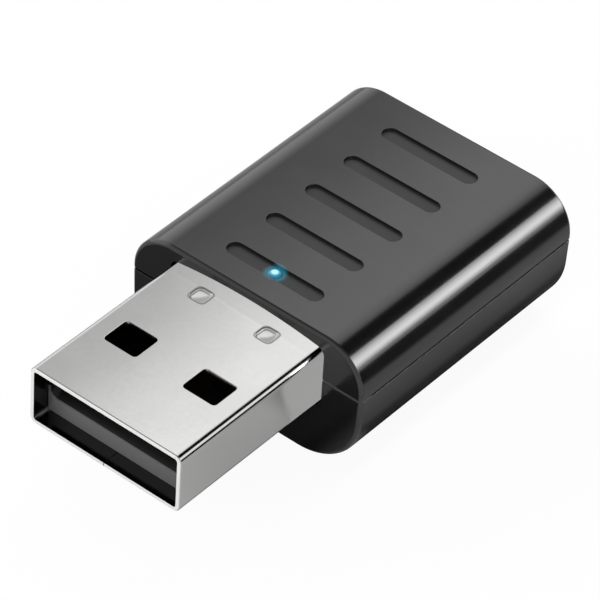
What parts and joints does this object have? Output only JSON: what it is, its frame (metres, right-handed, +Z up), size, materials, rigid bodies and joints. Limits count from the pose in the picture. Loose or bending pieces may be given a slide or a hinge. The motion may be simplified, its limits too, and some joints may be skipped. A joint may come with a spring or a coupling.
{
  "type": "usb bluetooth adapter",
  "caption": "Short radio adapter for a computer port: folded steel plug with windows and dimples in a black two-shell housing with a grooved grip and a status light.",
  "frame": {"origin": "on the surface that the adapter lies on, under the middle of its length and width", "axes": "+X across the adapter, +Y from the plug's tip to the housing's rear, +Z up out of the grooved top"},
  "size_m": [0.0186, 0.034, 0.01],
  "materials": {
    "housing_plastic": "black moulded plastic, satin gloss",
    "light_pipe_clear": "clear plastic, lit pale blue",
    "plug_steel": "nickel-plated sheet steel",
    "insulator_plastic": "black glass-filled plastic",
    "contact_gold": "gold plating",
    "board_laminate": "glass-fibre board, green solder mask",
    "solder": "bright solder",
    "chip_package": "black moulding compound",
    "crystal_can": "metal lid on a ceramic base",
    "ferrite": "dark ferrite with plated ends",
    "ceramic": "tan ceramic with plated ends",
    "resistor_body": "black film on ceramic with plated ends",
    "antenna_ceramic": "white ceramic with plated ends",
    "lamp": "clear epoxy over a white base"
  },
  "bodies": {
    "root": {"upper_housing": "housing_plastic", "lower_housing": "housing_plastic", "light_pipe": "light_pipe_clear", "usb_shell": "plug_steel", "usb_insulator": "insulator_plastic", "power_contact": "contact_gold", "data_minus_contact": "contact_gold", "data_plus_contact": "contact_gold", "ground_contact": "contact_gold", "circuit_board": "board_laminate", "solder_joints": "solder", "radio_chip": "chip_package", "memory_chip": "chip_package", "voltage_regulator": "chip_package", "surge_protector": "chip_package", "crystal": "crystal_can", "ferrite_bead": "ferrite", "bulk_capacitor": "ceramic", "ceramic_capacitors": "ceramic", "resistors": "resistor_body", "chip_antenna": "antenna_ceramic", "status_led": "lamp"}
  },
  "joints": []
}
